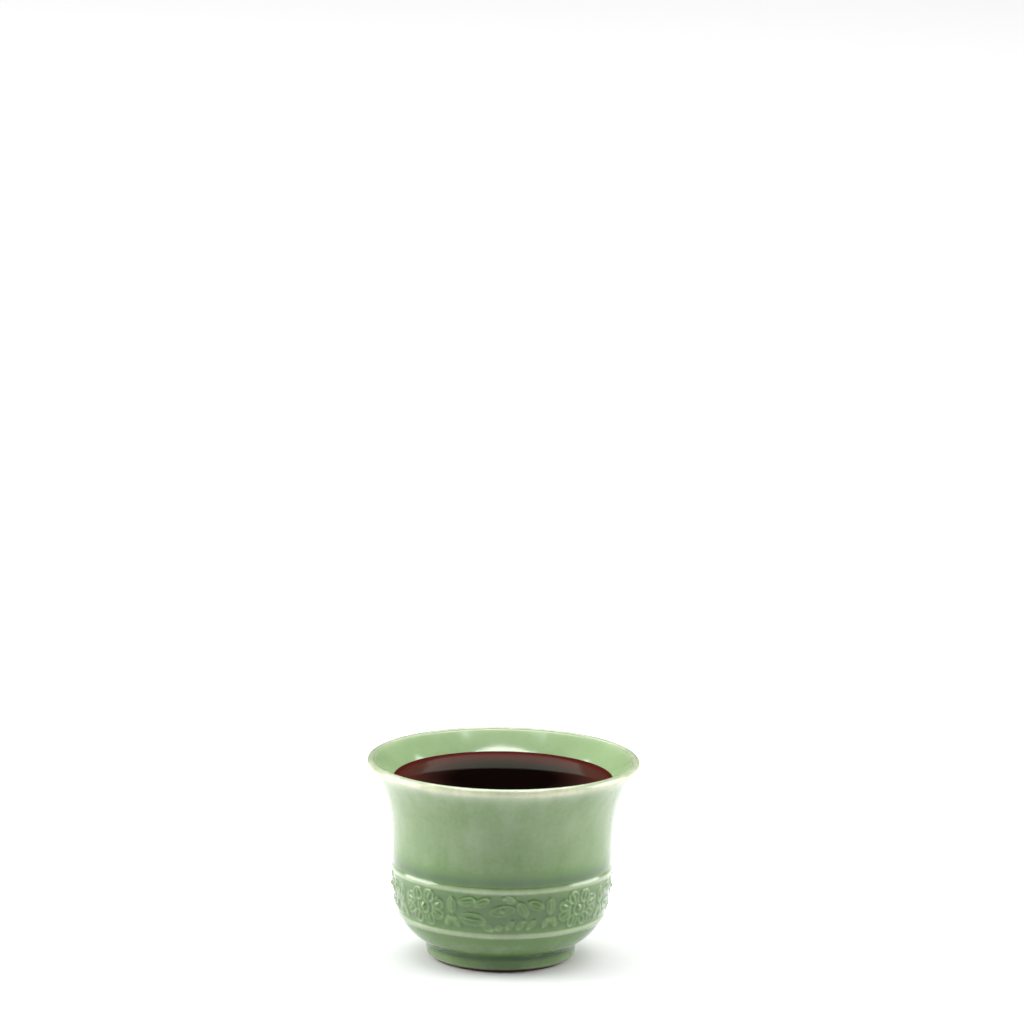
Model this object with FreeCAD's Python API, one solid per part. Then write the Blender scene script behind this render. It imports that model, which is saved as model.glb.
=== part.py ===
import FreeCAD, Part
import math
import os

# Stoneware tea cup with a flared lip, a turned foot and a band of applied relief, under a
# celadon glaze. Millimetres, +Z up, origin at the centre of the foot's bearing face.
# Radii and heights are those of the glazed cup unless a name says clay.

# Overall
CUP_HEIGHT = 52.0
RIM_RADIUS = 35.0
BODY_RADIUS = 28.3            # at the waist, the narrowest place above the relief
WAIST_HEIGHT = 31.0

# Lip: a round edge on the end of the flared wall
LIP_EDGE_RADIUS = 1.2
RIM_FLARE_ANGLE = 46.0        # the wall's lean at the lip, in degrees from upright
THROAT_DROP = 8.6             # from the top of the lip down to the start of the flare
THROAT_OPENING = 0.33         # how much of the way from waist to rim the wall has opened there

# Lower body: how far the wall has drawn in from the waist at each height
BELLY_HEIGHT = 17.0
BELLY_DRAW = 0.6
HIP_HEIGHT = 11.8             # the lower bead lies here
HIP_DRAW = 1.85
UNDERSIDE_HEIGHT = 8.0
UNDERSIDE_DRAW = 4.0
NECK_RISE = 1.1               # from the top of the foot to the start of the body's curve
NECK_LEDGE = 0.5              # how far that start stands out from the foot
NECK_SLOPE = 32.0             # the body's slope where it leaves the foot, from level

# Wall and floor, measured across with the glaze on both sides
WALL_AT_THROAT = 4.8
WALL_AT_WAIST = 4.0
WALL_AT_BELLY = 4.3
WALL_AT_HIP = 6.3
FLOOR_THICKNESS = 4.7
FLOOR_FLAT_RADIUS = 11.0
FLOOR_DISH = 0.5              # how far the floor has risen at that radius

# Foot ring
FOOT_HEIGHT = 3.3
FOOT_TOP_RADIUS = 19.3
FOOT_TAPER = 0.4              # how far the side draws in down to the table
FOOT_BEVEL_WIDTH = 1.1
FOOT_BEVEL_HEIGHT = 0.8
BEARING_WIDTH = 2.45          # the flat ring that the cup stands on
WELL_CHAMFER = 0.35
BARE_FOOT_HEIGHT = 0.9        # wiped clean of glaze up to here

# Glaze, on the wall and where it has run thin over raised clay
GLAZE = 0.4
GLAZE_ON_RELIEF = 0.2

# Applied relief, between two beads
UPPER_BEAD_HEIGHT = 23.8
BEAD_RADIUS = 0.9
BEAD_PROUD = 0.55             # above the clay wall
SPRIG_PROUD = 0.5             # above the clay wall
BOSS_PROUD = 0.75             # the middle of a blossom, above the clay wall
BAND_MARGIN = 0.45            # bare wall between a bead and the nearest sprig

# Layout of the relief. Each repeat holds a blossom, a leaf scroll and a bud on each side of
# the blossom. Shares across are of the repeat, and shares up are of the reach from the middle
# of the band to its edge.
REPEAT_COUNT = 4
BLOSSOM_SHARE = 0.16          # from the middle of a blossom to its side
PETAL_COUNT = 8
PETAL_RADIUS = 1.7
HEART_RADIUS = 1.5
HEART_LENGTH = 7.2            # of the leaf-shaped pad that joins the petals
BUD_SHARE = 0.205             # from the middle of a blossom to a bud
BUD_WIDTH = 2.2
BUD_REACH = 0.83
SCROLL_SHARE = 0.225          # from the middle of a leaf scroll to its outermost tip
SCROLL_EYE_RADIUS = 1.5
# Each leaf of a scroll: its tip, across as a share of the scroll and up, and its width
SCROLL_LEAVES = (
    (0.0, 0.98, 2.6),
    (0.37, 0.9, 2.3),
    (1.0, 0.62, 3.2),
    (0.95, -0.63, 3.0),
    (0.31, -0.87, 2.3),
    (0.0, -0.96, 2.4),
)

CURVE_SAMPLES = 24
AXIS = FreeCAD.Vector(0, 0, 1)
ORIGIN = FreeCAD.Vector(0, 0, 0)


def at(radius, height):
    """A point of the half section."""
    return FreeCAD.Vector(radius, 0, height)


def heading(degrees):
    """A direction in the half section, turned up from level."""
    return at(math.cos(math.radians(degrees)), math.sin(math.radians(degrees)))


def left_of(direction):
    return at(-direction.z, direction.x)


def smooth_curve(points, start_direction, end_direction):
    curve = Part.BSplineCurve()
    curve.interpolate(Points=points, InitialTangent=start_direction, FinalTangent=end_direction,
                      Scale=False)
    return curve


def curve_beside(curve, distance):
    """The curve that runs a constant distance to the left of another."""
    first, last = curve.FirstParameter, curve.LastParameter
    steps = [first + (last - first) * i / CURVE_SAMPLES for i in range(CURVE_SAMPLES + 1)]
    directions = [curve.tangent(step)[0] for step in steps]
    points = [curve.value(s) + left_of(d) * distance for s, d in zip(steps, directions)]
    return smooth_curve(points, directions[0], directions[-1])


def radius_at(curve, height):
    """The radius of a rising curve at a height, by halving."""
    low, high = curve.FirstParameter, curve.LastParameter
    while high - low > 1e-9:
        middle = (low + high) / 2
        if curve.value(middle).z < height:
            low = middle
        else:
            high = middle
    return curve.value(low).x


def turned(*pieces):
    """The solid that a closed chain of curves and corner points sweeps around the axis."""
    edges = []
    for index, piece in enumerate(pieces):
        following = pieces[(index + 1) % len(pieces)]
        end = piece
        if not isinstance(piece, FreeCAD.Vector):
            edges.append(piece.toShape())
            end = piece.value(piece.LastParameter)
        start = following
        if not isinstance(following, FreeCAD.Vector):
            start = following.value(following.FirstParameter)
        if end.distanceToPoint(start) > 1e-6:
            edges.append(Part.makeLine(end, start))
    face = Part.Face(Part.Wire(edges))
    solid = face.revolve(ORIGIN, AXIS, 360)
    solid.fix(1e-6, 1e-6, 1e-6)
    return solid


def reversed_curve(curve):
    other = curve.copy()
    other.reverse()
    return other


def around(shape, shares):
    """Copies at the given shares of every repeat of the relief, as solids of one piece."""
    copies = []
    for repeat in range(REPEAT_COUNT):
        for share in shares:
            copy = shape.copy()
            copy.rotate(ORIGIN, AXIS, (repeat + share) * 360 / REPEAT_COUNT)
            copies.append(copy)
    return Part.makeCompound(copies)


# The glazed section. The outside runs up from the foot to the lip, the inside down to the
# middle of the floor, so the clay is always on the left.
lean = heading(90 - RIM_FLARE_ANGLE)
lip_middle = at(RIM_RADIUS - LIP_EDGE_RADIUS, CUP_HEIGHT - LIP_EDGE_RADIUS)
throat_height = CUP_HEIGHT - THROAT_DROP
throat_radius = BODY_RADIUS + (RIM_RADIUS - BODY_RADIUS) * THROAT_OPENING
belly_radius = BODY_RADIUS - BELLY_DRAW
hip_radius = BODY_RADIUS - HIP_DRAW
floor_height = FOOT_HEIGHT + FLOOR_THICKNESS

outside = smooth_curve(
    [
        at(FOOT_TOP_RADIUS + NECK_LEDGE, FOOT_HEIGHT + NECK_RISE),
        at(BODY_RADIUS - UNDERSIDE_DRAW, UNDERSIDE_HEIGHT),
        at(hip_radius, HIP_HEIGHT),
        at(belly_radius, BELLY_HEIGHT),
        at(BODY_RADIUS, WAIST_HEIGHT),
        at(throat_radius, throat_height),
        lip_middle - left_of(lean) * LIP_EDGE_RADIUS,
    ],
    heading(NECK_SLOPE),
    lean,
)
inside = smooth_curve(
    [
        lip_middle + left_of(lean) * LIP_EDGE_RADIUS,
        at(throat_radius - WALL_AT_THROAT, throat_height),
        at(BODY_RADIUS - WALL_AT_WAIST, WAIST_HEIGHT),
        at(belly_radius - WALL_AT_BELLY, BELLY_HEIGHT),
        at(hip_radius - WALL_AT_HIP, HIP_HEIGHT),
        at(FLOOR_FLAT_RADIUS, floor_height + FLOOR_DISH),
        at(0, floor_height),
    ],
    -lean,
    at(-1, 0),
)
foot_base_radius = FOOT_TOP_RADIUS - FOOT_TAPER
foot_side = at(FOOT_TAPER, FOOT_HEIGHT).normalize()
foot_shift = left_of(foot_side) * GLAZE


def foot_at(height):
    """A point on the glazed side of the foot."""
    return at(foot_base_radius, 0) + foot_side * (height / foot_side.z)


def lip_edge(radius):
    across = left_of(lean) * radius
    return Part.Arc(lip_middle - across, lip_middle + lean * radius, lip_middle + across)


# The thrown body, without its foot
clay_outside = curve_beside(outside, GLAZE)
clay_inside = curve_beside(inside, GLAZE)
clay_lip = lip_edge(LIP_EDGE_RADIUS - GLAZE)
foot_top = foot_at(FOOT_HEIGHT) + foot_shift
foot_top.z = FOOT_HEIGHT
bowl = turned(clay_outside, clay_lip, clay_inside, at(0, FOOT_HEIGHT), foot_top)

# The turned foot, luted on under the floor
bearing_edge = foot_base_radius - GLAZE - FOOT_BEVEL_WIDTH
well_radius = bearing_edge - BEARING_WIDTH - WELL_CHAMFER
foot_ring = turned(
    at(well_radius + WELL_CHAMFER, 0),
    at(bearing_edge, 0),
    foot_at(FOOT_BEVEL_HEIGHT) + foot_shift,
    foot_top,
    at(well_radius, FOOT_HEIGHT),
    at(well_radius, WELL_CHAMFER),
)


# Two clay coils, pressed on to frame the relief
def bead(height, cover):
    """A coil half sunk in the wall, with a cover of glaze if it has any."""
    middle = radius_at(clay_outside, height) + BEAD_PROUD - BEAD_RADIUS
    coil = Part.makeTorus(middle, BEAD_RADIUS + cover)
    coil.translate(at(0, height))
    return coil.cut(bowl)


# Sprigs: flat outlines carried straight out of the wall and stopped at one height above it
band_middle = (UPPER_BEAD_HEIGHT + HIP_HEIGHT) / 2
band_reach = UPPER_BEAD_HEIGHT - band_middle - BEAD_RADIUS - GLAZE_ON_RELIEF - BAND_MARGIN
band_radius = radius_at(clay_outside, band_middle)


def wall_layer(thickness):
    """A layer of the given thickness on the clay wall."""
    return turned(clay_outside, reversed_curve(curve_beside(clay_outside, -thickness)))


def leaf_outline(start, tip, width, cover):
    """A leaf with two pointed ends."""
    along = (tip - start).normalize()
    side = left_of(along) * (width / 2 + cover)
    middle = (start + tip) / 2
    start, tip = start - along * cover, tip + along * cover
    edges = [
        Part.Arc(start, middle - side, tip).toShape(),
        Part.Arc(tip, middle + side, start).toShape(),
    ]
    return Part.Face(Part.Wire(edges))


def disc_outline(radius, right, up, cover):
    circle = Part.Circle(at(right, up), FreeCAD.Vector(0, 1, 0), radius + cover)
    return Part.Face(Part.Wire([circle.toShape()]))


def sprig(outlines, thickness):
    """Outlines drawn about the middle of a motif, pressed on the near side of the wall."""
    out_past_rim = FreeCAD.Vector(0, -2 * RIM_RADIUS, 0)
    prisms = []
    for outline in outlines:
        outline.translate(at(0, band_middle))
        prisms.append(outline.extrude(out_past_rim))
    block = prisms[0].fuse(prisms[1:]) if len(prisms) > 1 else prisms[0]
    return block.common(wall_layer(thickness)).removeSplitter()


def share_across(share):
    """A share of one repeat, as a distance across the front of the wall."""
    return band_radius * math.sin(math.tau / REPEAT_COUNT * share)


def blossom(cover):
    petals_across = share_across(BLOSSOM_SHARE) - PETAL_RADIUS
    petals_up = band_reach - PETAL_RADIUS
    heart_tip = at(HEART_LENGTH / 2, 0)
    outlines = [leaf_outline(-heart_tip, heart_tip, 2 * petals_up, cover)]
    for index in range(PETAL_COUNT):
        turn = math.tau * (index + 0.5) / PETAL_COUNT
        right, up = petals_across * math.cos(turn), petals_up * math.sin(turn)
        outlines.append(disc_outline(PETAL_RADIUS, right, up, cover))
    flower = sprig(outlines, SPRIG_PROUD + cover)
    heart = sprig([disc_outline(HEART_RADIUS, 0, 0, cover)], BOSS_PROUD + cover)
    return flower.fuse(heart).removeSplitter()


def leaf_scroll(cover):
    outlines = [disc_outline(SCROLL_EYE_RADIUS, 0, 0, cover)]
    for across, up, width in SCROLL_LEAVES:
        for side in (1, -1) if across else (1,):
            tip = at(side * across * share_across(SCROLL_SHARE), up * band_reach)
            outlines.append(leaf_outline(at(0, 0), tip, width, cover))
    return sprig(outlines, SPRIG_PROUD + cover)


def bud(cover):
    tip = at(0, BUD_REACH * band_reach)
    return sprig([leaf_outline(-tip, tip, BUD_WIDTH, cover)], SPRIG_PROUD + cover)


def relief(cover):
    """Every raised piece on the wall, under a cover of glaze if it has any."""
    return {
        "upper_bead": bead(UPPER_BEAD_HEIGHT, cover),
        "lower_bead": bead(HIP_HEIGHT, cover),
        "blossom_sprigs": around(blossom(cover), [0.5]),
        "leaf_sprigs": around(leaf_scroll(cover), [0]),
        "bud_sprigs": around(bud(cover), [0.5 - BUD_SHARE, 0.5 + BUD_SHARE]),
    }


clay_relief = relief(0)
covers = relief(GLAZE_ON_RELIEF)

# The outer coat: up the foot and the wall, over the relief and over the lip
glaze_foot = foot_at(BARE_FOOT_HEIGHT)
coat = turned(
    outside,
    lip_edge(LIP_EDGE_RADIUS),
    reversed_curve(clay_lip),
    reversed_curve(clay_outside),
    foot_top,
    glaze_foot + foot_shift,
    glaze_foot,
    foot_at(FOOT_HEIGHT),
)
raised = [solid for cover in covers.values() for solid in cover.Solids]
clay = [solid for piece in clay_relief.values() for solid in piece.Solids]
outer_glaze = coat.fuse(raised).cut(clay).removeSplitter()

# The liner, poured inside, and the coat in the well of the foot
liner_glaze = turned(inside, reversed_curve(clay_inside))
well_glaze = turned(
    at(0, FOOT_HEIGHT),
    at(0, FOOT_HEIGHT - GLAZE),
    at(well_radius - GLAZE, FOOT_HEIGHT - GLAZE),
    at(well_radius - GLAZE, BARE_FOOT_HEIGHT),
    at(well_radius, BARE_FOOT_HEIGHT),
    at(well_radius, FOOT_HEIGHT),
)

nodes = {
    "bowl": bowl,
    "foot_ring": foot_ring,
    **clay_relief,
    "outer_glaze": outer_glaze,
    "liner_glaze": liner_glaze,
    "well_glaze": well_glaze,
}
os.makedirs("parts", exist_ok=True)
for name, shape in nodes.items():
    shape.exportStep(f"parts/{name}.step")
    solids = shape.Solids
    volume = sum(solid.Volume for solid in solids)
    sound = all(solid.isValid() and solid.isClosed() for solid in solids)
    print(f"{name}: {len(solids)} solids, {volume:.1f} mm3, {'sound' if sound else 'faulty'}")
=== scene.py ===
import math

import bmesh
import bpy
import numpy as np
from mathutils import Matrix, Vector
from mathutils.bvhtree import BVHTree


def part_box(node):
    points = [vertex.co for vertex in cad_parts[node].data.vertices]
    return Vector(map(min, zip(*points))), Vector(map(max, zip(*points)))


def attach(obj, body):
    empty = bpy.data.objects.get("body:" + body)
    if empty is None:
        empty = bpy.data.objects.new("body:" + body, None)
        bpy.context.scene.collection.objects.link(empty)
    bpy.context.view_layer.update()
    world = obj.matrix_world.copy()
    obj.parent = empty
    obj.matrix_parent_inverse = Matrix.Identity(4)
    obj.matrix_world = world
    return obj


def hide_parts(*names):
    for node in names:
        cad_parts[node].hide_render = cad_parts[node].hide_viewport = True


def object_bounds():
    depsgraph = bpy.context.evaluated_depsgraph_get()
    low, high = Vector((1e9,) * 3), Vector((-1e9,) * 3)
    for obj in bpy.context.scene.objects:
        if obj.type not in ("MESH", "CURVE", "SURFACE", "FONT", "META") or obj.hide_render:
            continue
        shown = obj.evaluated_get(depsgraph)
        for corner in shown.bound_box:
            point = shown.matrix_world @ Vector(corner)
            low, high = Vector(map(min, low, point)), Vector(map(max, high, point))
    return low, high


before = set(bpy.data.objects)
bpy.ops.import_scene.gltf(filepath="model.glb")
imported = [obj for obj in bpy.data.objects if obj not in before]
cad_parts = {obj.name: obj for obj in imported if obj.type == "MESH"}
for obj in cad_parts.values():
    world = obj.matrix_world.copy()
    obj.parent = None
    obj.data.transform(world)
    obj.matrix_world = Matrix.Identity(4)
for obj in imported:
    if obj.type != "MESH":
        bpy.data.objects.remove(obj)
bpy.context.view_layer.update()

mm = 0.001


# ---------------------------------------------------------------------------------------
# Bowl: the thrown body of grey-buff stoneware. Nothing of it is bare, because the glaze
# covers it inside and out, but its surface sets where every other piece lies.
# ---------------------------------------------------------------------------------------
class Wire:
    """A socket in a material, so that shader maths is written as plain sums."""

    def __init__(self, tree, socket=None):
        self.tree = tree
        self.socket = socket

    def node(self, kind, settings=(), sockets=(), stops=(), out=0):
        """Adds a node, sets it up, gives its sockets values or links, and returns an output."""
        made = self.tree.nodes.new(kind)
        for key, value in dict(settings).items():
            setattr(made, key, value)
        ramp = made.color_ramp.elements if stops else ()
        for index, (place, colour) in enumerate(stops):
            stop = ramp[index] if index < 2 else ramp.new(place)
            stop.position, stop.color = place, (*colour, 1)
        for key, value in dict(sockets).items():
            if isinstance(value, Wire):
                self.tree.links.new(value.socket, made.inputs[key])
            else:
                made.inputs[key].default_value = value
        return Wire(self.tree, made.outputs[out])

    def math(self, operation, *values):
        return self.node("ShaderNodeMath", {"operation": operation}, dict(enumerate(values)))

    def __add__(self, other):
        return self.math("ADD", self, other)

    def __radd__(self, other):
        return self.math("ADD", other, self)

    def __sub__(self, other):
        return self.math("SUBTRACT", self, other)

    def __rsub__(self, other):
        return self.math("SUBTRACT", other, self)

    def __mul__(self, other):
        return self.math("MULTIPLY", self, other)

    def __rmul__(self, other):
        return self.math("MULTIPLY", other, self)

    def fade(self, start, end):
        """0 at start, 1 at end, and smooth between them."""
        return self.node(
            "ShaderNodeMapRange",
            {"interpolation_type": "SMOOTHSTEP"},
            {"Value": self, "From Min": start, "From Max": end},
        )

    def noise(self, place, scale, detail=2.0):
        return self.node("ShaderNodeTexNoise", (), {"Vector": place, "Scale": scale, "Detail": detail})

    def mix(self, share, first, second):
        """One colour, going over to another as share goes from 0 to 1."""
        settings = {"data_type": "RGBA", "clamp_factor": True}
        return self.node("ShaderNodeMix", settings, {0: share, 6: first, 7: second}, out=2)


def new_finish(name, **constants):
    """A material with its constants set on the shader, and the tree to draw the rest in."""
    finish = bpy.data.materials.new(name)
    finish.use_nodes = True
    shader = finish.node_tree.nodes["Principled BSDF"]
    for socket, value in constants.items():
        shader.inputs[socket.replace("_", " ")].default_value = value
    return finish, shader, Wire(finish.node_tree)


def feed(shader, socket, wire):
    shader.id_data.links.new(wire.socket, shader.inputs[socket])


def stoneware(name, pale, toasted, toast_from, toast_to):
    """Fired clay with fine grog in it, toasted brown where it is bare near the bottom."""
    finish, shader, wire = new_finish(name, Roughness=0.7, Specular_IOR_Level=0.35)
    place = wire.node("ShaderNodeTexCoord", out=3)
    grog = wire.noise(place, 2600.0)
    cloud = wire.noise(place, 160.0)
    height = wire.node("ShaderNodeSeparateXYZ", (), {0: place}, out=2)
    toast = height.fade(toast_to, toast_from) * (0.75 + 0.5 * cloud)
    clay = wire.mix(grog.fade(0.52, 0.7) * 0.5, pale, [0.55 * part for part in pale[:3]] + [1])
    feed(shader, "Base Color", wire.mix(toast, clay, toasted))
    feed(shader, "Roughness", 0.62 + 0.25 * grog)
    bump = wire.node("ShaderNodeBump", (), {"Strength": 0.25, "Distance": 0.0001, "Height": grog})
    feed(shader, "Normal", bump)
    return finish


CLAY = (0.36, 0.30, 0.23, 1)
TOASTED_CLAY = (0.105, 0.060, 0.032, 1)


def give_finish(piece, finish):
    piece.data.materials.clear()
    piece.data.materials.append(finish)


covered_clay = stoneware("covered_clay", CLAY, TOASTED_CLAY, -1.0, -2.0)
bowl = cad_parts["bowl"]
give_finish(bowl, covered_clay)


def cast_radius(node, height, angle=0.0, from_inside=False):
    """The radius at which a level ray meets a piece, from the outside or from the axis."""
    away = Vector((math.sin(angle), -math.cos(angle), 0))
    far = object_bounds()[1][0] * 2
    axis_point = Vector((0, 0, height))
    start, heading = (axis_point, away) if from_inside else (axis_point + away * far, -away)
    hit, place, _, _ = node.ray_cast(start, heading)
    return math.hypot(place.x, place.y) if hit else None


# ---------------------------------------------------------------------------------------
# Foot ring: turned from the same clay and luted on. Its bevel and bearing face are wiped
# clean before the firing, so the bare clay toasts brown there.
# ---------------------------------------------------------------------------------------
foot_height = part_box("foot_ring")[1][2]
bare_clay = stoneware("bare_clay", (0.20, 0.145, 0.098, 1), TOASTED_CLAY, 0.2 * mm, 1.2 * mm)
give_finish(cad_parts["foot_ring"], bare_clay)

# ---------------------------------------------------------------------------------------
# Beads: two thin coils of the same clay, rolled out and pressed on round the wall, above
# and below the relief. They stay pale, because the glaze runs thin over them.
# ---------------------------------------------------------------------------------------
beads = [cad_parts[name] for name in ("upper_bead", "lower_bead")]
for bead in beads:
    give_finish(bead, covered_clay)
upper_bead_height = (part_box("upper_bead")[0][2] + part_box("upper_bead")[1][2]) / 2
lower_bead_height = (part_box("lower_bead")[0][2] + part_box("lower_bead")[1][2]) / 2

# ---------------------------------------------------------------------------------------
# Leaf scrolls: clay leaves pressed in a mould, each with a raised edge and a midrib, set
# round a small eye. Each scroll is laid out flat, then pressed on the wall between beads.
# ---------------------------------------------------------------------------------------
band_middle = (upper_bead_height + lower_bead_height) / 2
band_radius = cast_radius(bowl, band_middle)
band_reach = (upper_bead_height - lower_bead_height) / 2 - 1.2 * mm
repeats = 4
sprig_height = 0.32 * mm
sprig_groove = 0.3 * mm
sprig_root = 0.6 * mm
edge_width = 0.58 * mm
rib_width = 0.32 * mm
bend_step = 0.7 * mm


def pick(piece, wanted):
    """Selects faces by their middle and normal, in edit mode."""
    bpy.ops.mesh.select_mode(type="FACE")
    mesh = bmesh.from_edit_mesh(piece.data)
    for face in mesh.faces:
        face.select_set(wanted(face.calc_center_median(), face.normal))
    bmesh.update_edit_mesh(piece.data)


def press_pad(length, width, tip=1.0, sides=32):
    """A flat pad with a raised edge, lying on the table with its middle at the origin."""
    bpy.ops.object.select_all(action="DESELECT")
    depth = sprig_height + sprig_root
    middle = (sprig_height - sprig_root) / 2
    bpy.ops.mesh.primitive_cylinder_add(vertices=sides, radius=0.5, depth=depth, location=(0, 0, 0))
    pad = bpy.context.active_object
    bpy.ops.object.mode_set(mode="EDIT")
    bpy.ops.transform.resize(value=(length / tip, width, 1))
    bpy.ops.transform.translate(value=(0, 0, middle))
    ends = length / tip * 0.4999
    pick(pad, lambda place, normal: False)
    bpy.ops.mesh.select_mode(type="VERT")
    mesh = bmesh.from_edit_mesh(pad.data)
    for vertex in mesh.verts:
        vertex.select_set(abs(vertex.co.x) > ends)
    bmesh.update_edit_mesh(pad.data)
    bpy.ops.transform.resize(value=(tip, 1, 1))
    pick(pad, lambda place, normal: normal.z > 0.9)
    bpy.ops.mesh.inset(thickness=edge_width, depth=0)
    bpy.ops.transform.translate(value=(0, 0, -sprig_groove))
    bpy.ops.object.mode_set(mode="OBJECT")
    return pad


def press_rib(length, width, height):
    """A low ridge along the middle of a leaf."""
    bpy.ops.object.select_all(action="DESELECT")
    bpy.ops.mesh.primitive_uv_sphere_add(
        segments=20, ring_count=10, radius=1, scale=(length / 2, width, height)
    )
    return bpy.context.active_object


def gather(name, pieces):
    """Joins pressed pieces into one, with its place in its mesh."""
    bpy.ops.object.select_all(action="DESELECT")
    for piece in pieces:
        piece.select_set(True)
    bpy.context.view_layer.objects.active = pieces[0]
    bpy.ops.object.transform_apply(location=True, rotation=True, scale=True)
    bpy.ops.object.join()
    joined = bpy.context.active_object
    joined.name = name
    joined.data.name = name
    return joined


def leaf(across, up, length, width, lean):
    """A pointed leaf with a midrib, in millimetres, and its lean from level in degrees."""
    rib = press_rib(length * 0.8 * mm, rib_width, sprig_height)
    whole = gather("leaf", [press_pad(length * mm, width * mm, tip=1.16), rib])
    whole.rotation_euler.z = math.radians(lean)
    whole.location = (across * mm, up * mm, 0)
    return whole


def button(width, boss):
    """A round pad with a boss in its middle."""
    knob = press_rib(width * 0.5, width * 0.25, boss)
    return gather("button", [press_pad(width, width), knob])


def press_on_wall(name, flat, angles, finish):
    """Copies of a flat sprig, each bent to the wall at its own angle round the cup."""
    bpy.ops.object.select_all(action="DESELECT")
    bpy.context.view_layer.objects.active = flat
    flat.select_set(True)
    half = max(abs(corner[0]) for corner in flat.bound_box)
    bpy.ops.object.mode_set(mode="EDIT")
    cuts = int(half / bend_step)
    for step in range(-cuts, cuts + 1):
        bpy.ops.mesh.select_all(action="SELECT")
        bpy.ops.mesh.bisect(plane_co=(step * bend_step, 0, 0), plane_no=(1, 0, 0))
    bpy.ops.object.mode_set(mode="OBJECT")
    copies = []
    for angle in angles:
        copy = flat.copy()
        copy.data = flat.data.copy()
        bpy.context.collection.objects.link(copy)
        for vertex in copy.data.vertices:
            across, up, out = vertex.co
            turn = angle + across / band_radius
            height = band_middle + up
            radius = wall_radius(height) + out
            vertex.co = (radius * math.sin(turn), -radius * math.cos(turn), height)
        copies.append(copy)
    bpy.data.objects.remove(flat)
    sprigs = gather(name, copies)
    give_finish(sprigs, finish)
    return sprigs


wall_heights = np.arange(lower_bead_height - 4 * mm, upper_bead_height + 4 * mm, 0.5 * mm)
wall_radii = np.array([cast_radius(bowl, height) for height in wall_heights])


def wall_radius(height):
    return float(np.interp(height, wall_heights, wall_radii))


# Each leaf: across and up from the middle of the scroll, length, width, lean
scroll_leaves = (
    (-8.6, 3.1, 5.4, 2.5, 14),
    (-4.7, 3.0, 5.2, 2.3, 28),
    (-7.2, -1.6, 7.8, 3.7, -6),
    (-3.4, -3.6, 3.8, 2.0, -35),
    (-0.5, -3.7, 3.0, 1.8, 12),
    (2.3, -2.9, 3.8, 1.9, 52),
    (5.0, -2.9, 4.0, 1.9, 50),
    (7.7, -2.9, 4.0, 1.9, 48),
    (5.4, 1.3, 5.2, 2.6, -62),
    (2.0, 4.0, 4.0, 1.9, -8),
    (8.8, 2.3, 5.2, 2.5, -22),
)
leaves = [leaf(*sizes) for sizes in scroll_leaves]
eye = gather("eye", [press_pad(6.6 * mm, 3.0 * mm), press_rib(1.2 * mm, 0.9 * mm, 0.4 * mm)])
eye.rotation_euler.z = math.radians(12)
eye.location = (0.4 * mm, 1.0 * mm, 0)
flat_scroll = gather("leaf_scroll", leaves + [eye])
scroll_angles = [math.tau * index / repeats for index in range(repeats)]
leaf_scrolls = press_on_wall("leaf_scrolls", flat_scroll, scroll_angles, covered_clay)
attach(leaf_scrolls, "root")
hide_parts("leaf_sprigs")

# ---------------------------------------------------------------------------------------
# Blossoms: clay pads pressed in a mould like the leaves, a ring of ribbed petals round a
# heart with a boss. One lies between each leaf scroll and the next.
# ---------------------------------------------------------------------------------------
petal_length = 3.6 * mm
petal_width = 3.3 * mm
petal_count = 8
blossom_share = 0.16
petals_across = band_radius * math.sin(math.tau / repeats * blossom_share) - petal_length / 2
petals_up = band_reach + 0.2 * mm - petal_length / 2
petals = []
for index in range(petal_count):
    turn = math.tau * (index + 0.5) / petal_count
    middle = Vector((petals_across * math.cos(turn), petals_up * math.sin(turn), 0))
    petal_rib = press_rib(petal_length * 0.8, rib_width, sprig_height)
    petal = gather("petal", [press_pad(petal_length, petal_width), petal_rib])
    petal.rotation_euler.z = math.atan2(middle.y * 1.6, middle.x)
    petal.location = middle
    petals.append(petal)
heart = button(4.0 * mm, 0.4 * mm)
flat_blossom = gather("blossom", petals + [heart])
blossom_angles = [math.tau * (index + 0.5) / repeats for index in range(repeats)]
blossoms = press_on_wall("blossoms", flat_blossom, blossom_angles, covered_clay)
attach(blossoms, "root")
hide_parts("blossom_sprigs")

# ---------------------------------------------------------------------------------------
# Buds: small clay sprigs of one upright leaf over two slanted ones, pressed in the same
# way. One stands on each side of every blossom.
# ---------------------------------------------------------------------------------------
bud_share = 0.205
bud_turn = math.tau / repeats * bud_share
bud_leaves = ((0, 1.7, 5.0, 2.3, 90), (-1.1, -2.5, 3.8, 1.8, 60), (1.1, -2.5, 3.8, 1.8, 120))
flat_bud = gather("bud", [leaf(*sizes) for sizes in bud_leaves])
bud_angles = [angle + side * bud_turn for angle in blossom_angles for side in (-1, 1)]
buds = press_on_wall("buds", flat_bud, bud_angles, covered_clay)
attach(buds, "root")
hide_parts("bud_sprigs")


# ---------------------------------------------------------------------------------------
# Outer glaze: a coat of celadon, dipped, that runs over the lip and down to the foot. It
# runs thin and pale over raised clay and the lip, and pools deep green in every hollow.
# Under the body's curve above the foot, its green is deepened further as painted shade.
# ---------------------------------------------------------------------------------------
def draw(points, smooth):
    """Draws part of a half section, as a smooth line or a straight-sided one."""
    bpy.ops.object.select_all(action="DESELECT")
    bpy.ops.curve.primitive_nurbs_path_add()
    drawn = bpy.context.active_object
    drawn.data.splines.clear()
    line = drawn.data.splines.new("NURBS" if smooth else "POLY")
    line.points.add(len(points) - 1)
    for point, (radius, height) in zip(line.points, points):
        point.co = (radius, 0, height, 1)
    if smooth:
        line.order_u = 4
        line.use_endpoint_u = True
        line.resolution_u = smooth
    drawn.data.use_path = False
    bpy.ops.object.convert(target="MESH")
    return bpy.context.active_object


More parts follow.
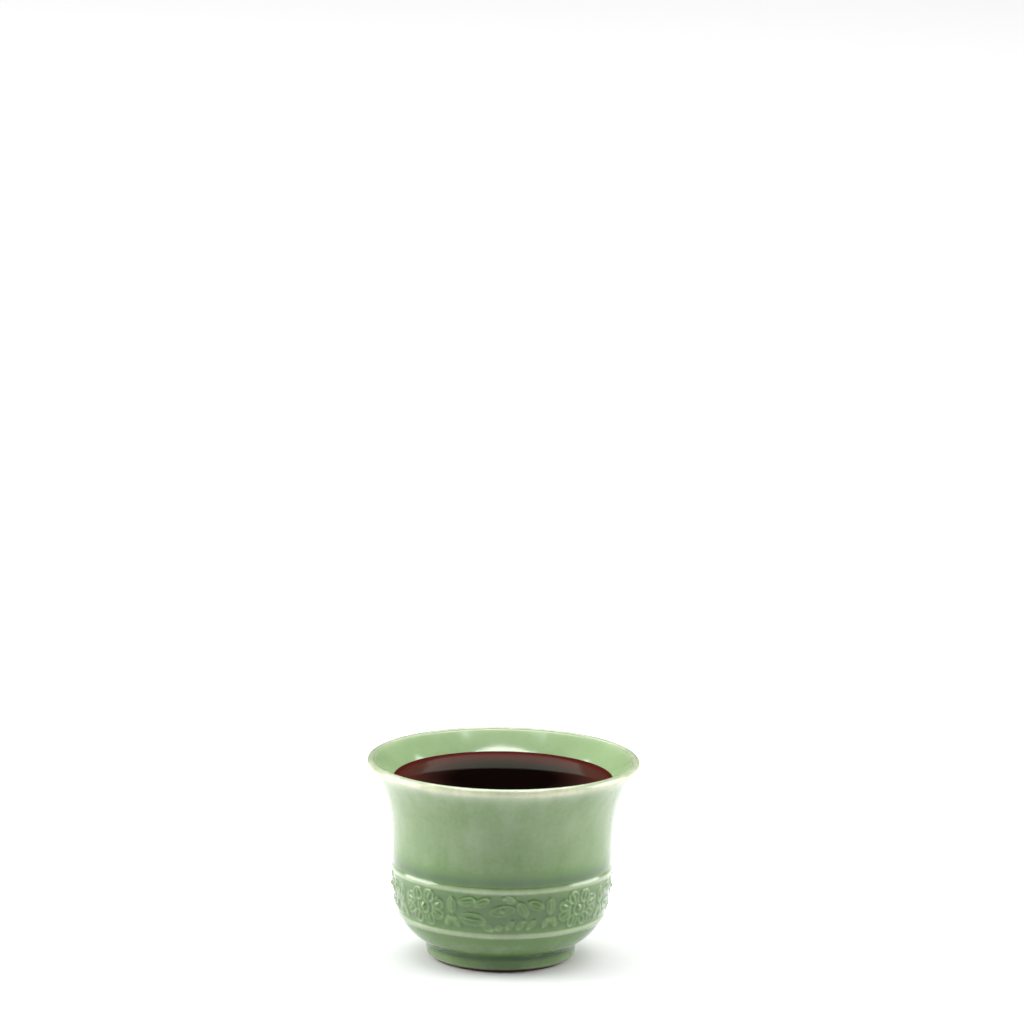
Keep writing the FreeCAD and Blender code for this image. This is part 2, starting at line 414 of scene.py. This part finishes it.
def throw(name, lines, steps):
    """Joins the lines of a half section and turns it round the axis into a closed piece."""
    piece = gather(name, lines)
    bpy.ops.object.mode_set(mode="EDIT")
    bpy.ops.mesh.select_all(action="SELECT")
    bpy.ops.mesh.remove_doubles(threshold=0.004 * mm)
    bpy.ops.mesh.select_all(action="SELECT")
    bpy.ops.mesh.spin(steps=steps, angle=math.tau, center=(0, 0, 0), axis=(0, 0, 1))
    bpy.ops.mesh.select_all(action="SELECT")
    bpy.ops.mesh.remove_doubles(threshold=0.004 * mm)
    bpy.ops.mesh.normals_make_consistent(inside=False)
    bpy.ops.object.mode_set(mode="OBJECT")
    bpy.ops.object.shade_smooth()
    return piece


glaze_low, glaze_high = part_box("outer_glaze")
rim_radius = glaze_high[0]
lip_edge = 1.2 * mm
rim_flare = 46
lip_from, lip_to = -rim_flare, 180 - rim_flare
coat = 0.4 * mm
thin_coat = 0.2 * mm
coat_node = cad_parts["outer_glaze"]
clear_angle = math.tau / repeats * 0.257  # between a scroll and a bud, where no sprig lies
lip_middle = Vector((rim_radius - lip_edge, glaze_high[2] - lip_edge))


def lip_point(radius, degrees):
    """A point at the edge of the lip, with its angle up from level."""
    turn = math.radians(degrees)
    return lip_middle.x + radius * math.cos(turn), lip_middle.y + radius * math.sin(turn)


def lip_arc(radius, count):
    """Points round the edge of the lip, from the outer wall to the inner."""
    return [lip_point(radius, lip_from + (lip_to - lip_from) * i / (count - 1)) for i in range(count)]


def steps_between(low, high, step):
    return np.linspace(low, high, max(2, round((high - low) / step) + 1))


foot_line = glaze_low[2]
lip_start = lip_middle.y - lip_edge * math.sin(math.radians(rim_flare))
below_band = lower_bead_height - 1.2 * mm
above_band = upper_bead_height + 1.6 * mm
heights = np.unique(np.concatenate([
    steps_between(foot_line + 0.15 * mm, foot_height - 0.4 * mm, 0.7 * mm),
    steps_between(foot_height - 0.4 * mm, foot_height + 1.4 * mm, 0.3 * mm),
    steps_between(foot_height + 1.4 * mm, below_band, 1.5 * mm),
    steps_between(below_band, above_band, 0.5 * mm),
    steps_between(above_band, lip_start - 0.8 * mm, 2.2 * mm),
]))
outer_line = []
for height in heights:
    if below_band < height < above_band:
        radius = cast_radius(bowl, height) + coat
    else:
        radius = cast_radius(coat_node, height, clear_angle)
    outer_line.append((radius, float(height)))
foot_edge = (outer_line[0][0] - 0.2 * mm, foot_line)
outer_line = [foot_edge] + outer_line + lip_arc(lip_edge, 9)
back_heights = np.concatenate([
    steps_between(foot_line, foot_height - 0.4 * mm, 0.9 * mm),
    steps_between(foot_height, foot_height + 2 * mm, 0.4 * mm),
    steps_between(foot_height + 3 * mm, lower_bead_height, 1.2 * mm),
    steps_between(lower_bead_height + 4 * mm, lip_start - 0.8 * mm, 4 * mm),
])
back_line = [(cast_radius(coat_node, float(h), clear_angle) - coat, float(h)) for h in back_heights[1:]]
back_line = [(outer_line[0][0] - 0.15 * mm, foot_line)] + back_line
back_line += lip_arc(lip_edge - coat, 5)
outer_ends = [draw([outer_line[end], back_line[end]], 0) for end in (0, -1)]
outer_glaze = throw("outer_glaze_coat", [draw(outer_line, 2), draw(back_line, 0)] + outer_ends, 600)

count = len(outer_glaze.data.vertices)
places = np.empty(count * 3)
outer_glaze.data.vertices.foreach_get("co", places)
places = places.reshape(-1, 3)
radii = np.hypot(places[:, 0], places[:, 1])
levels = places[:, 2].copy()
ground = np.interp(levels, wall_heights, wall_radii)
band = (levels > lower_bead_height - 2 * mm) & (levels < upper_bead_height + 2 * mm)
in_band = np.flatnonzero(band & (radii > ground + coat / 2))
swelling = 2.2

# Sprigs and beads, with the sprigs swelled so that they still show once the glaze melts
points, faces = [], []
for piece in [leaf_scrolls, blossoms, buds] + beads:
    first = len(points)
    for vertex in piece.data.vertices:
        x, y, z = vertex.co
        radius = math.hypot(x, y)
        swell = 1 if piece in beads else 1 + (swelling - 1) * (1 - wall_radius(z) / radius)
        points.append((x * swell, y * swell, z))
    faces += [[first + index for index in face.vertices] for face in piece.data.polygons]
relief = BVHTree.FromPolygons(points, faces)

# The coat is let down on them. Each place is the mean of four near it, which softens edges.
nudges = [(turn, rise) for turn in (-0.0026, 0.0026) for rise in (-0.06 * mm, 0.06 * mm)]
clay_radii = np.where(band, ground, radii - coat)
for index in in_band:
    angle = math.atan2(places[index, 1], places[index, 0])
    total = 0
    for turn, rise in nudges:
        away = Vector((math.cos(angle + turn), math.sin(angle + turn), 0))
        start = away * (radii[index] + 2 * mm) + Vector((0, 0, levels[index] + rise))
        place = relief.ray_cast(start, -away, 2.6 * mm)[0]
        total += max(ground[index], math.hypot(place.x, place.y)) if place else ground[index]
    clay_radii[index] = total / len(nudges)
proud = np.clip((clay_radii - ground) / (0.35 * mm), 0, 1)
places[in_band, :2] *= ((clay_radii + coat - (coat - thin_coat) * proud) / radii)[in_band, None]
outer_glaze.data.vertices.foreach_set("co", places.ravel())
outer_glaze.data.update()

# In the kiln it melts and evens out
soft = outer_glaze.vertex_groups.new(name="soft")
soft.add([int(index) for index in in_band], 1.0, "REPLACE")
bpy.ops.object.select_all(action="DESELECT")
outer_glaze.select_set(True)
bpy.context.view_layer.objects.active = outer_glaze
melt = outer_glaze.modifiers.new("melt", "SMOOTH")
melt.factor = 0.5
melt.iterations = 4
melt.vertex_group = "soft"
bpy.ops.object.modifier_apply(modifier="melt")
melted = np.empty(count * 3)
outer_glaze.data.vertices.foreach_get("co", melted)
melted = melted.reshape(-1, 3)

# How deep the glaze lies, which sets its colour
pooling = 2.1
least_depth = 0.22 * mm
depth = np.full(count, coat)
depth[in_band] += pooling * (np.hypot(melted[:, 0], melted[:, 1]) - clay_radii - coat)[in_band]
depth = np.maximum(depth, least_depth)


def hump(values, middle, half_width):
    """1 at the middle, falling smoothly to 0 at half the width to each side."""
    share = np.clip(1 - np.abs(values - middle) / half_width, 0, 1)
    return share * share * (3 - 2 * share)


depth += 0.16 * mm * np.minimum(2.5 * hump(levels, band_middle, band_reach + 1.5 * mm), 1)
# Where the glaze pools deeper, and above the foot also painted shade: how much deeper,
# its height, and half its width
pools_and_painted_shade = (
    (0.26 * mm, upper_bead_height + 2.2 * mm, 2.2 * mm),
    (0.10 * mm, lower_bead_height - 1.6 * mm, 1.2 * mm),
    # Above the foot: glaze pooled in the fillet, made deeper still as painted shade under the body's
    # curve
    (0.32 * mm, foot_height + 0.7 * mm, 1.5 * mm),
)
for deeper, middle_height, half_width in pools_and_painted_shade:
    depth += deeper * hump(levels, middle_height, half_width)
depth -= 0.055 * mm * np.clip((levels - 28 * mm) / (12 * mm), 0, 1)
lip_share = np.clip((levels - (glaze_high[2] - 2.6 * mm)) / (1.6 * mm), 0, 1)
depth -= 0.15 * mm * lip_share + 0.15 * mm * hump(levels, glaze_high[2] - 2.0 * mm, 2.4 * mm)
depth -= 0.15 * mm * hump(levels, foot_line, 0.8 * mm)


def store_depth(piece, values):
    """Keeps how deep the glaze lies, in millimetres and evened out, for its colour."""
    ends = np.empty(len(piece.data.edges) * 2, dtype=int)
    piece.data.edges.foreach_get("vertices", ends)
    first, second = ends.reshape(-1, 2).T
    shares = np.bincount(ends, minlength=len(values)) + 2.0
    for _ in range(2):
        total = 2 * values
        total += np.bincount(first, values[second], len(values))
        total += np.bincount(second, values[first], len(values))
        values = total / shares
    layer = piece.data.attributes.new("glaze_depth", "FLOAT", "POINT")
    layer.data.foreach_set("value", values / mm)


store_depth(outer_glaze, depth)


def celadon(name, thin, pale, full, deep):
    """Celadon glaze, whose colour comes from how deep it lies over the clay."""
    finish, shader, wire = new_finish(
        name, Roughness=0.14, IOR=1.5, Coat_Weight=0.2, Coat_Roughness=0.05
    )
    place = wire.node("ShaderNodeTexCoord", out=3)
    lying = wire.node("ShaderNodeAttribute", {"attribute_name": "glaze_depth"}, out=2)
    runs = wire.node("ShaderNodeVectorMath", {"operation": "MULTIPLY"}, {0: place, 1: (1, 1, 0.25)})
    cloud = 0.5 * wire.noise(place, 90.0) + 0.5 * wire.noise(runs, 260.0)
    fine = wire.noise(place, 900.0, 4.0)
    lying = lying + 0.20 * (cloud - 0.5) + 0.06 * (fine - 0.5)
    ramp = wire.node(
        "ShaderNodeValToRGB",
        (),
        {0: lying},
        stops=((0.05, thin), (0.75, deep), (0.17, pale), (0.42, full)),
    )
    speck = wire.noise(place, 1500.0, 1.0).fade(0.70, 0.78)
    feed(shader, "Base Color", wire.mix(0.35 * speck, ramp, (0.12, 0.13, 0.07, 1)))
    feed(shader, "Roughness", 0.09 + 0.10 * fine)
    ripple = wire.noise(place, 160.0, 1.0) + 0.15 * wire.noise(place, 1100.0, 2.0)
    bump = wire.node("ShaderNodeBump", (), {"Strength": 0.20, "Distance": 0.0003, "Height": ripple})
    feed(shader, "Normal", bump)
    return finish


full_green = (0.104, 0.190, 0.057)
outer_celadon = celadon(
    "outer_celadon",
    thin=(0.68, 0.65, 0.47),
    pale=(0.33, 0.40, 0.26),
    full=full_green,
    deep=(0.036, 0.076, 0.034),
)
give_finish(outer_glaze, outer_celadon)
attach(outer_glaze, "root")
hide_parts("outer_glaze")

# ---------------------------------------------------------------------------------------
# Liner glaze: the same celadon, poured inside and drained, so it lies smooth and even.
# It meets the outer coat at the inner edge of the lip. Its colours are set paler than the
# outer coat's, which is painted light for the brighter inside wall.
# ---------------------------------------------------------------------------------------
liner_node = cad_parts["liner_glaze"]
liner_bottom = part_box("liner_glaze")[0][2]
floor_height = liner_bottom + coat
floor_rise = 0.12 * mm
inside_heights = steps_between(floor_height + floor_rise, glaze_high[2] - 1.2 * mm, 0.4 * mm)
inside_radii = [cast_radius(liner_node, float(height), from_inside=True) for height in inside_heights]


def inside_radius(height):
    return float(np.interp(height, inside_heights, inside_radii))


lip_inner = lip_point(lip_edge, lip_to)
liner_heights = steps_between(floor_height + floor_rise, lip_inner[1] - 0.9 * mm, 1.6 * mm)[::-1]
inner_line = [lip_inner, (lip_inner[0] - 0.35 * mm, lip_inner[1] - 0.335 * mm)]
inner_line += [(inside_radius(h), float(h)) for h in liner_heights]
floor_shares = (0.8, 0.55, 0.3, 0.1, 0)
floor_edge = inner_line[-1][0]
inner_line += [(floor_edge * share, floor_height + floor_rise * share**3) for share in floor_shares]
outer_lip = lip_point(lip_edge - coat, lip_to)
liner_back = [outer_lip]
liner_back += [(inside_radius(h) + coat, float(h)) for h in liner_heights[::3]]
liner_back += [(liner_back[-1][0] * 0.9, liner_bottom), (0, liner_bottom)]
liner = throw(
    "liner_glaze_coat",
    [draw(inner_line, 4), draw(liner_back, 0), draw([inner_line[0], liner_back[0]], 0)],
    360,
)
liner_places = np.empty(len(liner.data.vertices) * 3)
liner.data.vertices.foreach_get("co", liner_places)
liner_levels = liner_places.reshape(-1, 3)[:, 2]
lip_share = np.clip((liner_levels - (glaze_high[2] - 2.2 * mm)) / (2.0 * mm), 0, 1)
store_depth(liner, coat - 0.19 * mm * lip_share**3)
# Paler stops than the outer coat's for the same glaze: painted light on the inside wall
liner_celadon_painted_paler = celadon(
    "liner_celadon_painted_paler",
    thin=(0.66, 0.65, 0.46),
    pale=(0.36, 0.45, 0.27),
    full=(0.230, 0.338, 0.164),
    deep=(0.130, 0.210, 0.100),
)
give_finish(liner, liner_celadon_painted_paler)
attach(liner, "root")
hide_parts("liner_glaze")

# ---------------------------------------------------------------------------------------
# Well glaze: a pooled coat in the hollow of the foot, from the same bucket. Nothing wears it
# thin there, so it is the full green all over.
# ---------------------------------------------------------------------------------------
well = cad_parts["well_glaze"]
give_finish(well, celadon("well_celadon", full_green, full_green, full_green, full_green))

# ---------------------------------------------------------------------------------------
# Tea: dark red, filled to a few millimetres below the lip, and drawn up a little where it
# wets the glaze. Deep tea is nearly black, and it shows red only where it is shallow.
# ---------------------------------------------------------------------------------------
tea_level = glaze_high[2] - 5.55 * mm
tea_bottom = floor_height + 0.6 * mm
meniscus = 0.45 * mm
gap = 0.03 * mm
tea_radius = inside_radius(tea_level) - gap
tea_top = [(0, tea_level), (tea_radius * 0.5, tea_level), (tea_radius - 2.2 * mm, tea_level)]
tea_top += [
    (tea_radius - 1.2 * mm, tea_level + 0.03 * mm),
    (tea_radius - 0.45 * mm, tea_level + 0.12 * mm),
    (inside_radius(tea_level + meniscus) - gap, tea_level + meniscus),
]
tea_heights = steps_between(tea_bottom, tea_level, 3 * mm)[::-1]
tea_side = [tea_top[-1]]
tea_side += [(inside_radius(h) - 4 * gap, float(h)) for h in tea_heights]
tea_side += [(0, tea_bottom)]
tea = throw("tea", [draw(tea_top, 6), draw(tea_side, 0)], 240)
liquor, shader, wire = new_finish("tea_liquor", Roughness=0.02, IOR=1.33, Specular_IOR_Level=0.009)
place = wire.node("ShaderNodeTexCoord", out=3)
spread = wire.node("ShaderNodeVectorMath", {"operation": "MULTIPLY"}, {0: place, 1: (1, 1, 0)})
reach = wire.node("ShaderNodeVectorMath", {"operation": "LENGTH"}, {0: spread}, out=1)
body = wire.mix(reach.fade(12 * mm, 27 * mm), (0.002, 0.0008, 0.0006, 1), (0.036, 0.013, 0.010, 1))
shallow = reach.fade(tea_radius - 9 * mm, tea_radius + 1 * mm)
feed(shader, "Base Color", wire.mix(shallow, body, (0.052, 0.0075, 0.0065, 1)))
give_finish(tea, liquor)
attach(tea, "root")

# ---------------------------------------------------------------------------------------
# Table top, studio light and camera: a sheet of white paper under the cup, softboxes above
# it and at both sides, and a black flag behind it that the front of the drink mirrors.
# ---------------------------------------------------------------------------------------
bpy.ops.object.select_all(action="DESELECT")
bpy.ops.mesh.primitive_plane_add(size=12)
table = bpy.context.active_object
table.name = "table_top"
paper, shader, wire = new_finish("white_paper", Roughness=0.55, Specular_IOR_Level=0.2)
shader.inputs["Base Color"].default_value = (0.76, 0.76, 0.765, 1)
give_finish(table, paper)

world = bpy.data.worlds.new("studio")
bpy.context.scene.world = world
world.use_nodes = True
wire = Wire(world.node_tree)
direction = wire.node("ShaderNodeTexCoord")
depthward = wire.node("ShaderNodeSeparateXYZ", (), {0: direction}, out=1)
sky = 0.10 + 0.90 * depthward.fade(-0.95, 0.15) - 0.35 * depthward.fade(0.3, 0.95)
feed(world.node_tree.nodes["Background"], "Strength", sky)


def softbox(name, place, aim, width, height, power, **seen):
    """A rectangular light that the camera doesn't see."""
    bpy.ops.object.light_add(type="AREA", location=place)
    lamp = bpy.context.active_object
    lamp.name = name
    lamp.data.shape = "RECTANGLE"
    lamp.data.size = width
    lamp.data.size_y = height
    lamp.data.energy = power
    lamp.rotation_euler = (Vector(aim) - Vector(place)).to_track_quat("-Z", "Y").to_euler()
    lamp.visible_camera = False
    for rays, value in seen.items():
        setattr(lamp, rays, value)


softbox("ceiling_softbox", (-0.4, 0.6, 2.5), (-0.4, 0.6, 0), 5.0, 5.0, 204, visible_glossy=False)
softbox("left_softbox", (-1.1, 0.1, 0.45), (0, 0, 0.03), 0.9, 0.9, 19.0)
softbox("right_softbox", (1.1, 0.15, 0.45), (0, 0, 0.03), 0.9, 0.9, 16.5)
softbox("strip_softbox", (0, -0.31, 1.0), (0, 0, 0.05), 0.84, 0.11, 4.2, visible_diffuse=False)
softbox("rim_softbox", (0, 0.35, 1.1), (0, 0, 0.05), 0.9, 0.9, 18.0, visible_diffuse=False)

bpy.ops.mesh.primitive_plane_add(size=1, location=(0, 0.42, 0.12), rotation=(math.radians(90), 0, 0))
flag = bpy.context.active_object
flag.name = "black_flag"
flag.scale = (0.5, 0.3, 1)
cloth, shader, wire = new_finish("black_cloth", Roughness=1.0, Specular_IOR_Level=0.0)
shader.inputs["Base Color"].default_value = (0.01, 0.01, 0.01, 1)
give_finish(flag, cloth)
flag.visible_camera = False
flag.visible_diffuse = False
flag.visible_shadow = False

bpy.context.scene.view_settings.view_transform = "Standard"

camera_data = bpy.data.cameras.new("camera")
camera_data.sensor_width = 36
camera_data.lens = 260
camera_data.clip_start = 0.05
camera_data.clip_end = 20
camera = bpy.data.objects.new("camera", camera_data)
bpy.context.collection.objects.link(camera)
camera.location = (0, -1.8408, 0.4995)
look_down = 11.76
pitch, yaw, roll = math.radians(90 - look_down), math.radians(-0.0365), math.radians(0.9)
turn = Matrix.Rotation(yaw, 4, "Z") @ Matrix.Rotation(pitch, 4, "X") @ Matrix.Rotation(roll, 4, "Z")
camera.rotation_euler = turn.to_euler()
bpy.context.scene.camera = camera
